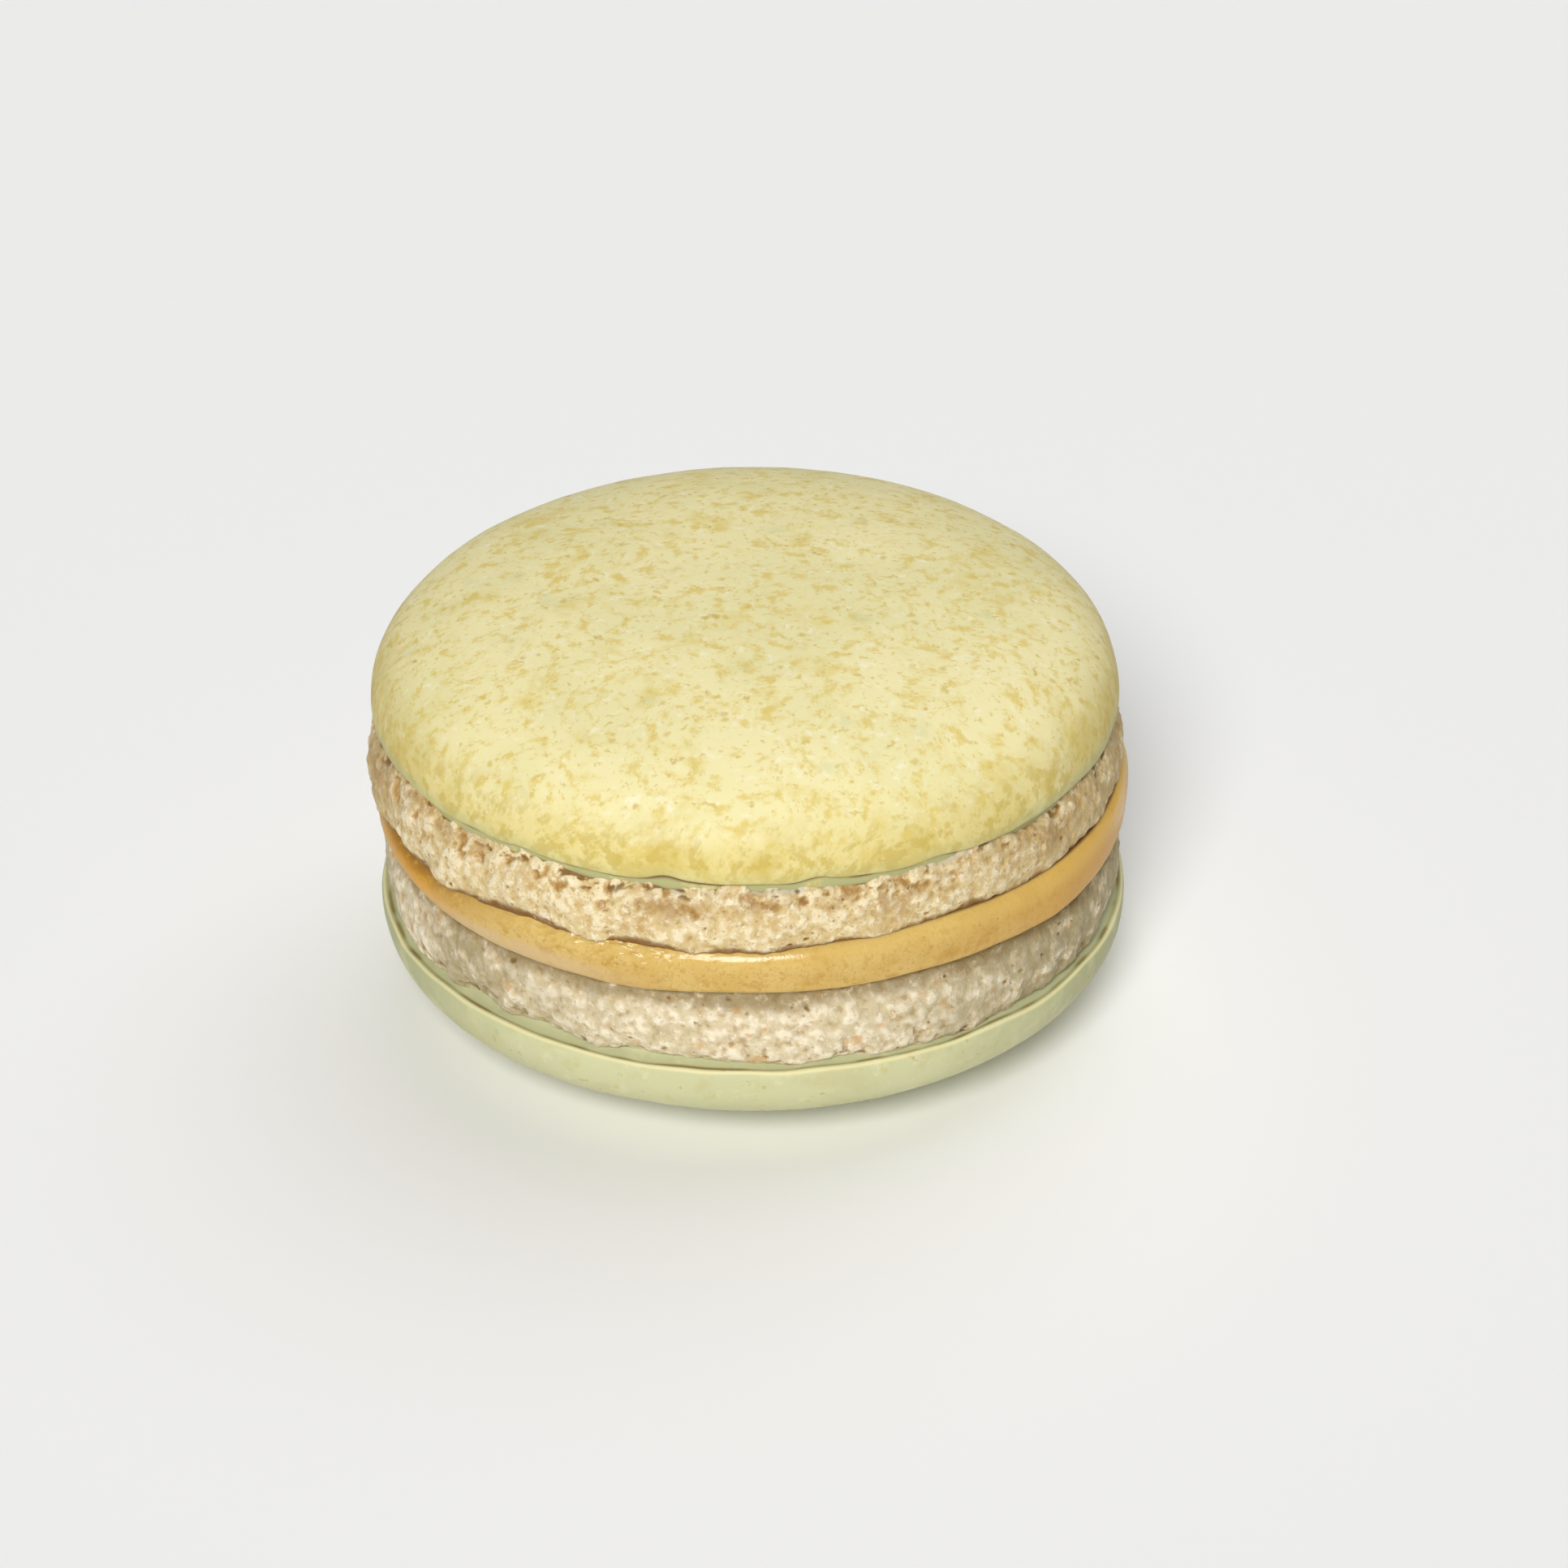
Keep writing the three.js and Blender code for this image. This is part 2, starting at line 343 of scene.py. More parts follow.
# Meringue skin. Rings are worked out from the lip and from a superellipse for the dome.
skinShape = {
    "sides": 64,
    "smoothing": 3,
    "domeTurns": (5, 12, 20, 29, 38, 47, 56, 64),   # rings up the dome, as angles on its outline
    "sag": {"size": 9.0, "depth": 0.12},
    "dimples": {"size": 2.6, "depth": 0.03},
    "edgeWave": {"size": 3.2, "depth": 0.16},       # the lip wanders up and down
    "edgeDepth": 1.3,                               # how far up from the lip that wander reaches
    "edgeFade": (-1.1, -0.4),                       # rises below the lip between which it fades in
    "crownEdge": 0.999,                             # the filled crown lies inside this share of its ring
    "rimBand": (4.6, 0.4),                          # rises between which the toasted rim patches fade in
    "tingeBand": (1.2, -0.2),                       # the same for the greener tinge at the lip, partly painted shade where the dome turns from the light
    "sideBand": (5.5, 0.5),                         # and for the darker sides: painted shade, partly a browner bake
    # the line under the lip comes and goes: its noise, and how narrow and how faint it gets
    "creaseNoise": {"size": 1.6, "seed": 7, "low": -0.3, "high": 0.4, "narrowest": 0.6, "faintest": 0.4},
}

upperSkin = {
    "name": "upperSkin",
    "node": "shell_top",
    "centre": (-0.17, 0.07),
    "radius": 22.72,
    "rimHeight": 19.85,
    "domeHeight": 7.45,
    "crownPower": 2.55,
    "shoulderPower": 2.65,
    "up": 1,
    # from the hidden edge behind the foot, down the band below the lip, and round the lip itself:
    # (in from the radius, up from the rim)
    "lip": ((2.4, -1.5), (0.9, -1.45), (0.54, -1.2), (0.47, -0.8), (0.43, -0.5), (0.3, -0.44),
            (0.13, -0.37), (0.03, -0.16), (0.0, 0.15)),
    "ledge": (-0.38, -0.45, 0.2, 0.32),     # where its colour starts: rises, then distances inwards
    "creaseShade": (0.42, -0.53, 0.12, 0.1),     # a brown line and painted shade under the lip: in, up, and half widths of both
    "rimHighlight": (0.0, 0.0, 0.1, 0.0),        # a painted highlight along the rim: in, up, half width, amount
    "lean": (0.018, 0.034),                 # the crown rises to the right and to the back
    # places where the lip is nicked: (angle, half width, by)
    "nicks": ((235.5, 3.0, 0.2), (258.7, 2.4, 0.3), (281, 2.6, 0.28), (300, 4.0, 0.18),
              (25, 4.0, 0.3), (78, 3.0, 0.25), (131, 5.0, 0.3), (170, 3.0, 0.2)),
    # greener at the lip, partly painted shade where the dome turns from the light: (angle, share)
    "tinge": ((0, 0.9), (60, 0.6), (180, 0.8), (205, 0.8), (225, 0.55), (250, 0.4), (300, 0.4),
              (325, 0.7), (345, 0.9)),
}

lowerSkin = {
    "name": "lowerSkin",
    "node": "shell_bottom",
    "centre": (0.28, 0.07),
    "radius": 23.1,
    "rimHeight": 6.6,
    "domeHeight": 6.6,
    "crownPower": 2.65,
    "shoulderPower": 2.42,
    "up": -1,
    # the ledge round the foot, a shallow groove, and the rim that stands up outside it
    "lip": ((2.9, -1.5), (1.6, -1.3), (1.25, -0.86), (0.98, -0.58), (0.68, -0.46), (0.48, -0.36),
            (0.3, -0.46), (0.13, -0.43), (0.03, -0.16), (0.0, 0.15)),
    "ledge": (-0.32, -0.38, 0.32, 0.48),
    # a yellow-brown line and painted shade in the groove inside the rim: in, up, and half widths of both
    "creaseShade": (0.48, -0.38, 0.15, 0.16),
    # a painted highlight along the rim crest: in, up, half width, amount
    "rimHighlight": (0.14, -0.42, 0.14, 1.0),
    "lean": (0.006, 0.0),
    "nicks": ((204, 4.0, 0.15), (250, 4.0, 0.1), (318, 5.0, 0.12), (60, 4.0, 0.2), (115, 4.0, 0.2)),
    # greener at the lip, partly painted shade where the dome turns from the light: (angle, share)
    "tinge": ((0, 0.5), (180, 0.5), (215, 0.35), (240, 0.0), (300, 0.0), (330, 0.4)),
}


def domeOutline(skin, turn):
    angle = math.radians(turn)
    radius = skin["radius"] * math.cos(angle) ** (2 / skin["shoulderPower"])
    rise = skin["domeHeight"] * math.sin(angle) ** (2 / skin["crownPower"])
    return radius, rise


def domeRise(skin, radius):
    share = min(1, radius / skin["radius"]) ** (skin["shoulderPower"] / 2)
    return skin["domeHeight"] * math.sqrt(1 - share * share) ** (2 / skin["crownPower"])


def makeSkin(skin, material):
    up, rim = skin["up"], skin["rimHeight"]
    rings = [(skin["radius"] - inBy, rim + up * rise) for inBy, rise in skin["lip"]]
    for turn in skinShape["domeTurns"]:
        radius, rise = domeOutline(skin, turn)
        rings.append((radius, rim + up * rise))
    sides = skinShape["sides"]
    piece = extrudeRings(skin["name"], rings, sides, skin["centre"])
    bpy.ops.mesh.fill_grid(span=sides // 4, offset=0)
    bpy.ops.object.mode_set(mode="OBJECT")
    crownRadius = rings[-1][0]

    # the crown was filled flat, so it is raised to the dome
    def raiseCrown(angle, radius, height):
        if radius < crownRadius * skinShape["crownEdge"] and (height - rim) * up > 0:
            height = rim + up * domeRise(skin, radius)
        return radius, height

    # the lip gets its wander and its nicks, and the dome its lean
    def leanAndWave(angle, radius, height):
        rise = (height - rim) * up
        inward = skin["radius"] - radius
        turn = math.radians(angle)
        x, y = radius * math.cos(turn), radius * math.sin(turn)
        wave = skinShape["edgeWave"]
        lift = wave["depth"] * noise.noise(Vector((x, y, rim)) / wave["size"])
        lift += sum(by * roundHump(angle, at, width) for at, width, by in skin["nicks"])
        nearLip = smoothStep(skinShape["edgeDepth"], 0, rise) * smoothStep(*skinShape["edgeFade"], rise)
        edge = smoothStep(*skinShape["rimBand"], rise)
        tinge = smoothStep(*skinShape["tingeBand"], rise) * alongRound(skin["tinge"], angle)
        startRise, fullRise, startIn, fullIn = skin["ledge"]
        ledge = smoothStep(startRise, fullRise, rise) * smoothStep(startIn, fullIn, inward)
        creaseIn, creaseRise, widthIn, widthRise = skin["creaseShade"]
        line = skinShape["creaseNoise"]
        drawn = noise.noise(Vector((x, y, line["seed"])) / line["size"])
        patchy = smoothStep(line["low"], line["high"], drawn)
        widthRise *= line["narrowest"] + patchy
        creaseShade = hump(inward, creaseIn, widthIn) * hump(rise, creaseRise, widthRise)
        creaseShade *= line["faintest"] + (1 - line["faintest"]) * patchy
        lineIn, lineRise, lineWidth, amount = skin["rimHighlight"]
        rimHighlight = amount * hump(inward, lineIn, lineWidth) * hump(rise, lineRise, lineWidth)
        side = alongRound(shadedAndBakedSides, angle) * smoothStep(*skinShape["sideBand"], rise)
        lean = (skin["lean"][0] * x + skin["lean"][1] * y) * max(0, rise) / skin["domeHeight"]
        height += up * lift * nearLip + lean
        return radius, height, edge, tinge, ledge, creaseShade, rimHighlight, side

    reshape(piece, skin["centre"], raiseCrown)
    smoothAndClose(piece, skinShape["smoothing"])
    reshape(piece, skin["centre"], leanAndWave, ("edge", "tinge", "ledge", "creaseShade", "rimHighlight", "side"))
    tree, start, place, _ = startRelief(skin["name"] + "Relief")
    height = addLumps(tree, place, skinShape["sag"])
    height = addLumps(tree, place, skinShape["dimples"], height)
    applyRelief(piece, tree, start, height)
    reshape(piece, skin["centre"], lambda angle, radius, height: (radius, max(height, 0)))
    dressPiece(piece, skin, material)


skinFinish = {
    "roughness": 0.55,
    "warp": {"size": 6.0, "by": 0.9},
    "dotWarp": {"size": 0.6, "by": 0.2},
    # almond grains: golden, toasted, green, and small dark ones
    "dots": (
        {"spacing": 1.6, "radius": 0.42, "share": 0.3, "tint": "#d4b64c", "strength": 0.6},
        {"spacing": 3.3, "radius": 0.3, "share": 0.3, "tint": "#d09a52", "strength": 0.6},
        {"spacing": 3.1, "radius": 0.4, "share": 0.25, "tint": "#b0b484", "strength": 0.45},
        {"spacing": 2.6, "radius": 0.15, "share": 0.2, "tint": "#77744a", "strength": 0.7},
    ),
    # green tinge at the lip, partly painted shade
    "tinge": ("#b4b985", 0.75),
    "upper": {
        "base": "#f6ebb2",
        "patches": (
            (9.0, 2, 0.36, 0.66, "#ece4aa", 0.6),        # slow drift of the dye
            (0.8, 3, 0.47, 0.24, "#fdf8dc", 0.6),        # paler curds
            (3.0, 5, 0.48, 0.76, "#e6d27a", 0.7),        # toasted patches
            (1.0, 4, 0.45, 0.72, "#e4cb6c", 0.8),        # ground almond under the skin
            (0.45, 3, 0.52, 0.76, "#dcc05e", 0.75),
            (1.8, 4, 0.64, 0.75, "#cbae50", 0.7),
            (4.0, 3, 0.58, 0.76, "#d3d4a2", 0.4),        # grey-green drift
        ),
        "rimPatches": (
            (5.0, 2, 0.15, 0.55, "#e2cd78", 0.6),
            (3.2, 5, 0.44, 0.68, "#d6bd5e", 0.75),
            (0.9, 4, 0.44, 0.62, "#cdb352", 0.7),
        ),
        # darker sides: painted shade, partly a browner bake
        "side": ((2.5, 3, 0.25, 0.55, "#c2b162", 0.65),),
        # green band under the lip, darker than the lower ledge: partly painted shade under the lip
        "ledge": ((1.5, 3, 0.25, 0.5, "#b7b680", 0.95),),
        # brown line and painted shade under the lip
        "creaseShade": ("#7d5c36", 0.95),
    },
    "lower": {
        # greyer and darker than the upper skin: painted shade of the shell that faces down, partly greener
        # colour
        "base": "#d3d2a4",
        "patches": (
            (9.0, 2, 0.36, 0.66, "#cccb9c", 0.6),
            (1.3, 3, 0.46, 0.26, "#e2dfba", 0.5),
            (1.6, 4, 0.52, 0.76, "#c9bf78", 0.5),
            (0.7, 3, 0.62, 0.76, "#bca95c", 0.7),
        ),
        "rimPatches": ((2.4, 4, 0.50, 0.70, "#c9c088", 0.4),),
        # darker sides: painted shade, partly a browner bake
        "side": ((2.5, 3, 0.25, 0.55, "#abac7e", 0.75),),
        "ledge": ((1.5, 3, 0.25, 0.5, "#c2c396", 0.9),),
        # yellow-brown line and painted shade in the groove inside the rim
        "creaseShade": ("#8c7a40", 0.9),
    },
    # painted highlight along the rim crest
    "rimHighlight": ("#eee6b0", 0.85),
    "grain": (0.6, 4, 0.024),
    "gloss": 0.4,
    "letsIn": 0.15,
    "reach": (1.0, 0.8, 0.45),
    "reachScale": 0.8,
}


# Baked almond meringue skin: smooth, dry and faintly satin, with ground almond showing through.
def skinMaterial(which):
    finish, own = skinFinish, skinFinish[which]
    material, tree, place, values = newMaterial(
        which + "MeringueSkin", ("edge", "tinge", "ledge", "creaseShade", "rimHighlight", "side"))
    swirled = warpPlace(tree, place, finish["warp"])
    colour = mottled(tree, linearColour(own["base"]), swirled, own["patches"], seed=5)
    # the sides get painted shade, partly a browner bake
    colour = mottled(tree, colour, swirled, own["side"], seed=131, mask=values["side"])
    colour = mottled(tree, colour, swirled, own["rimPatches"], seed=211, mask=values["edge"])
    colour = tinted(tree, colour, *finish["tinge"], values["tinge"])
    dotPlace = warpPlace(tree, place, finish["dotWarp"])
    for dots in finish["dots"]:
        colour = tinted(tree, colour, dots["tint"], dots["strength"], pinholes(tree, dotPlace, dots))
    colour = mottled(tree, colour, place, own["ledge"], seed=171, mask=values["ledge"])
    colour = tinted(tree, colour, *own["creaseShade"], values["creaseShade"])
    colour = tinted(tree, colour, *finish["rimHighlight"], values["rimHighlight"])
    finishSurface(tree, place, colour, finish["roughness"], finish)
    return material


# Ragged foot: a torn, open crumb. Heights of its two ends follow the filling and the skin.
footShape = {
    "sides": 180,
    "smoothing": 3,
    "swell": {"size": 4.2, "depth": 0.32, "detail": 1},
    "clumps": {"size": 1.5, "depth": 0.2, "detail": 4, "roughness": 0.55},
    "puffs": {"spacing": 0.9, "softness": 0.6, "middle": 0.35, "depth": 0.2},
    "grit": {"size": 0.42, "depth": 0.07, "detail": 3, "roughness": 0.65},
    "warp": {"size": 0.9, "by": 0.3},
    "flatten": 1.7,         # holes are wider than high by this much
    "pores": ({"spacing": 0.62, "radius": 0.16, "depth": 0.09, "share": 0.2},
              {"spacing": 1.15, "radius": 0.28, "depth": 0.18, "share": 0.22}),
    "edgeWave": {"size": 2.6, "depth": 0.3, "seed": 40},
    "waveBand": (0.0, 0.1),                 # shares between which the wander fades in above the filling
    "filmBand": (0.82, 0.9),                # shares between which the dried film fades in
    "shown": (-0.01, 0.04, 1.08, 0.98),     # the hidden ends stay smooth
}

upperFoot = {
    "name": "upperFoot",
    "node": "shell_top",
    "centre": (-0.17, 0.07),
    # (radius, share of the way from the filling to the skin)
    "rings": ((21.4, -0.02), (22.3, -0.01), (22.75, 0.05), (22.97, 0.2), (23.0, 0.42), (22.88, 0.66),
              (22.5, 0.87), (22.1, 1.0), (21.3, 1.08)),
    "up": 1,
    "contact": ((5, 15.3), (60, 15.0), (120, 14.7), (180, 14.4), (212, 14.3), (226, 14.45), (238, 14.8),
                (258, 14.85), (261, 14.65), (270, 14.8), (284, 15.1), (300, 15.3), (325, 15.25)),
    "neck": ((5, 19.5), (60, 19.4), (120, 19.4), (185, 19.4), (206, 19.5), (224, 19.44), (238, 19.26),
             (250, 19.12), (262, 19.28), (285, 19.34), (300, 19.4), (318, 19.48), (338, 19.5)),
    # broken open: wide hollows, and ragged pits where the foot meets the skin. Both fade in between
    # the two shares of its height.
    "hollows": {"size": 1.7, "detail": 5, "low": 0.5, "high": 0.74, "depth": 0.34, "from": 0.36, "to": 0.7},
    "pits": {"size": 1.1, "detail": 3, "low": 0.52, "high": 0.64, "depth": 0.16, "from": 0.74, "to": 0.9},
    # how much darker it is round its sides: painted shade where less light reaches, partly a browner bake:
    # (angle, share)
    "shadeAndBake": ((0, 1.0), (40, 0.5), (90, 0.3), (140, 0.5), (180, 0.8), (196, 0.7), (210, 0.2), (230, 0.2),
              (250, 0.0), (285, 0.0), (315, 0.45), (335, 0.95)),
    # places that are stained by the filling or by toasting: (angle, half width, climb, half height)
    "stains": ((196, 10, 0.65, 0.45), (218, 14, 0.9, 0.22), (259, 6, 0.7, 0.25), (272, 5, 0.8, 0.17),
               (292, 11, 0.75, 0.34), (320, 9, 0.65, 0.4), (40, 20, 0.7, 0.3), (100, 12, 0.7, 0.3),
               (150, 15, 0.7, 0.3)),
    # where a pale film of dried meringue hangs from the lip: (angle, half width)
    "films": ((258, 5), (268, 6), (279, 4), (303, 5), (80, 15), (160, 10)),
}

lowerFoot = {
    "name": "lowerFoot",
    "node": "shell_bottom",
    "centre": (0.28, 0.07),
    "rings": ((21.3, -0.02), (21.95, 0.0), (22.25, 0.1), (22.56, 0.28), (22.72, 0.48), (22.72, 0.68),
              (22.56, 0.86), (22.25, 0.99), (21.4, 1.08)),
    "up": -1,
    "contact": ((0, 12.25), (90, 12.2), (180, 12.3), (206, 12.35), (225, 12.1), (253, 12.0), (270, 12.25),
                (285, 12.15), (305, 12.35), (327, 12.1)),
    "neck": ((0, 7.0), (90, 7.1), (180, 7.0), (211, 6.95), (228, 7.3), (255, 7.25), (272, 7.1),
             (290, 6.8), (304, 6.55), (318, 6.65), (334, 6.9)),
    "hollows": {"size": 1.8, "detail": 4, "low": 0.56, "high": 0.74, "depth": 0.28, "from": 0.5, "to": 0.8},
    "pits": {"size": 1.3, "detail": 3, "low": 0.54, "high": 0.76, "depth": 0.12, "from": 0.7, "to": 0.9},
    # how much darker it is round its sides: painted shade, partly a browner bake: (angle, share)
    "shadeAndBake": ((0, 1.0), (40, 0.7), (90, 0.4), (140, 0.6), (185, 0.5), (205, 0.15), (221, 0.8), (240, 0.4),
              (262, 0.0), (285, 0.1), (305, 0.6), (325, 0.95)),
    "stains": ((190, 9, 0.75, 0.4), (120, 20, 0.6, 0.4)),
    "films": (),
}


# Where the crumb broke open as it rose: 1 in the middle of a hollow, and 0 outside it.
def brokenOpen(tree, place, climb, hollows):
    pattern = addNode(tree, "ShaderNodeTexNoise",
                      {"Vector": place, "Scale": 1 / hollows["size"], "Detail": hollows["detail"]})
    broken = addNode(tree, "ShaderNodeMapRange",
                     {"Value": pattern, "From Min": hollows["low"], "From Max": hollows["high"]},
                     interpolation_type="SMOOTHSTEP")
    upper = addNode(tree, "ShaderNodeMapRange",
                    {"Value": climb, "From Min": hollows["from"], "From Max": hollows["to"]},
                    interpolation_type="SMOOTHSTEP")
    return addNode(tree, "ShaderNodeMath", {0: broken, 1: upper}, operation="MULTIPLY")


def sinkHoles(tree, height, inside, depth):
    return addNode(tree, "ShaderNodeMath", {0: inside, 1: -depth, 2: height}, operation="MULTIPLY_ADD")


def applyFootRelief(piece, foot):
    tree, start, place, values = startRelief(foot["name"] + "Relief", ("climb",))
    climb = values["climb"]
    warped = warpPlace(tree, place, footShape["warp"])
    height = addLumps(tree, place, footShape["swell"])
    height = addLumps(tree, place, footShape["clumps"], height)
    height = addPuffs(tree, warped, footShape["puffs"], height)
    height = addLumps(tree, place, footShape["grit"], height)
    hollow = brokenOpen(tree, warped, climb, foot["hollows"])
    height = sinkHoles(tree, height, hollow, foot["hollows"]["depth"])

    # pits and pores are wider than high, and share one attribute for their painted shade
    flat = addNode(tree, "ShaderNodeVectorMath", {0: warped, 1: (1, 1, footShape["flatten"])},
                   operation="MULTIPLY")
    pore = brokenOpen(tree, flat, climb, foot["pits"])
    height = sinkHoles(tree, height, pore, foot["pits"]["depth"])
    for holes in footShape["pores"]:
        inside = pinholes(tree, flat, holes)
        height = sinkHoles(tree, height, inside, holes["depth"])
        pore = addNode(tree, "ShaderNodeMath", {0: inside, 1: pore}, operation="MAXIMUM")

    lowStart, lowFull, highStart, highFull = footShape["shown"]
    for hidden, full in ((lowStart, lowFull), (highStart, highFull)):
        shown = addNode(tree, "ShaderNodeMapRange", {"Value": climb, "From Min": hidden, "From Max": full},
                        interpolation_type="SMOOTHSTEP")
        height = addNode(tree, "ShaderNodeMath", {0: height, 1: shown}, operation="MULTIPLY")
    applyRelief(piece, tree, start, height, {"pore": pore, "hollow": hollow})


def makeFoot(foot, material):
    # the rings are made with their shares as heights, and then stretched between the two ends
    piece = extrudeRings(foot["name"], foot["rings"], footShape["sides"], foot["centre"])
    smoothAndClose(piece, footShape["smoothing"])
    wave = footShape["edgeWave"]

    def stretch(angle, radius, share):
        turn = math.radians(angle)
        spot = Vector((math.cos(turn) * radius, math.sin(turn) * radius, wave["seed"] * foot["up"]))
        wander = wave["depth"] * 2 * noise.noise(spot / wave["size"])
        low = alongRound(foot["contact"], angle) + wander * smoothStep(*footShape["waveBand"], share)
        high = alongRound(foot["neck"], angle) + wander
        stain = sum(roundHump(angle, at, width) * hump(share, middle, reach)
                    for at, width, middle, reach in foot["stains"])
        film = sum(roundHump(angle, at, width) for at, width in foot["films"])
        film *= smoothStep(*footShape["filmBand"], share)
        side = alongRound(foot["shadeAndBake"], angle)
        return radius, low + (high - low) * share, share, min(1, stain), min(1, film), side

    reshape(piece, foot["centre"], stretch, ("climb", "stain", "film", "side"))
    if foot["up"] < 0:
        faceOutward(piece)
    applyFootRelief(piece, foot)
    dressPiece(piece, foot, material)


crumbFinish = {
    "upper": {
        # how far it stands proud, and its colour there: painted shade in the recesses and painted light on
        # the lumps, partly the crumb's own colour
        "shadedDepths": ((-0.14, "#98703c"), (-0.07, "#c29c5e"), (-0.015, "#e0c994"), (0.04, "#f3e4be")),
        "patches": (
            (2.2, 4, 0.48, 0.70, "#d0b074", 0.65),      # toast
            (0.9, 3, 0.54, 0.74, "#c69c58", 0.55),
            (1.6, 4, 0.46, 0.28, "#fbf1da", 0.6),       # pale clumps
            (0.45, 3, 0.47, 0.28, "#fdf5dc", 0.75),     # white curds
            (0.3, 3, 0.52, 0.70, "#c2a26e", 0.75),
        ),
        "hollow": ((0.5, 4, 0.26, 0.58, "#b98d48", 0.75),),
        "stains": ((1.1, 4, 0.34, 0.60, "#b0884a", 0.75),),
        "sides": ((1.5, 4, 0.25, 0.55, "#b89b66", 0.7),),       # painted shade on its sides, partly a browner bake
        "contact": ((0.8, 3, 0.20, 0.45, "#835822", 0.95),),    # painted shade in the crevice under the filling, partly caramel from the filling
        "creviceShadeReach": (0.18, 0.02),
    },
    "lower": {
        # colour by how far it stands proud: painted shade in the recesses and painted light on the lumps,
        # partly its own colour
        "shadedDepths": ((-0.14, "#8c7350"), (-0.07, "#bda47c"), (-0.015, "#decda8"), (0.04, "#f5e9ce")),
        "patches": (
            (2.4, 4, 0.50, 0.72, "#cfbf94", 0.5),
            (1.0, 3, 0.58, 0.70, "#dba564", 0.6),       # toasted specks
            (1.4, 3, 0.64, 0.76, "#c2c58e", 0.4),       # green specks
            (0.45, 3, 0.46, 0.26, "#fdf5e2", 0.65),
            (0.3, 3, 0.52, 0.74, "#b9a680", 0.6),
        ),
        "hollow": ((0.5, 4, 0.26, 0.58, "#9c875a", 0.7),),
        "stains": ((1.1, 4, 0.36, 0.60, "#998656", 0.6),),
        # painted shade on its sides, partly a browner bake
        "sides": ((1.5, 4, 0.25, 0.55, "#9f9066", 0.8),),
        # painted shadow under the filling's overhang
        "contact": ((0.8, 3, 0.22, 0.5, "#86703f", 0.7),),
        "creviceShadeReach": (0.34, 0.08),
    },
    # dark brown in the pores and pits: painted shade inside the holes
    "pore": ("#7c5728", 0.8),
    "poreShadeBand": (0.1, 0.8),     # how deep in a pore its painted shade starts and is full
    "film": ((1.6, 3, 0.38, 0.52, "#cfc8b0", 0.8),),
    "roughness": 0.75,
    "hollowShine": 0.4,         # a hollow is smoother by this much
    "grain": (0.16, 4, 0.055),
    "gloss": 0.3,
    "letsIn": 0.42,
    "reach": (1.0, 0.75, 0.5),
    "reachScale": 0.4,
}


# Baked meringue crumb: a pale open foam that lets light in, browner wherever it lies deeper, partly as
# painted shade.
def crumbMaterial(which):
    finish, own = crumbFinish, crumbFinish[which]
    material, tree, place, values = newMaterial(
        which + "MeringueCrumb", ("proud", "pore", "hollow", "stain", "film", "climb", "side"))
    colour = linearColour(own["shadedDepths"][0][1])
    for (low, _), (high, tint) in zip(own["shadedDepths"], own["shadedDepths"][1:]):
        colour = tinted(tree, colour, tint, 1.0, values["proud"], low, high)
    colour = mottled(tree, colour, place, own["patches"], seed=23)
    colour = mottled(tree, colour, place, own["hollow"], seed=51, mask=values["hollow"])
    colour = mottled(tree, colour, place, own["stains"], seed=61, mask=values["stain"])
    # the sides get painted shade, partly a browner bake
    colour = mottled(tree, colour, place, own["sides"], seed=71, mask=values["side"])
    colour = mottled(tree, colour, place, finish["film"], seed=97, mask=values["film"])
    colour = tinted(tree, colour, *finish["pore"], values["pore"], *finish["poreShadeBand"])
    # painted shade on the crumb next to the filling
    reachEnd, reachFull = own["creviceShadeReach"]
    shadeNearCream = addNode(tree, "ShaderNodeMapRange",
                        {"Value": values["climb"], "From Min": reachEnd, "From Max": reachFull},
                        interpolation_type="SMOOTHSTEP")
    colour = mottled(tree, colour, place, own["contact"], seed=41, mask=shadeNearCream)
    roughness = addNode(tree, "ShaderNodeMath",
                        {0: values["hollow"], 1: -finish["hollowShine"], 2: finish["roughness"]},
                        operation="MULTIPLY_ADD")
    finishSurface(tree, place, colour, roughness, finish)
    return material


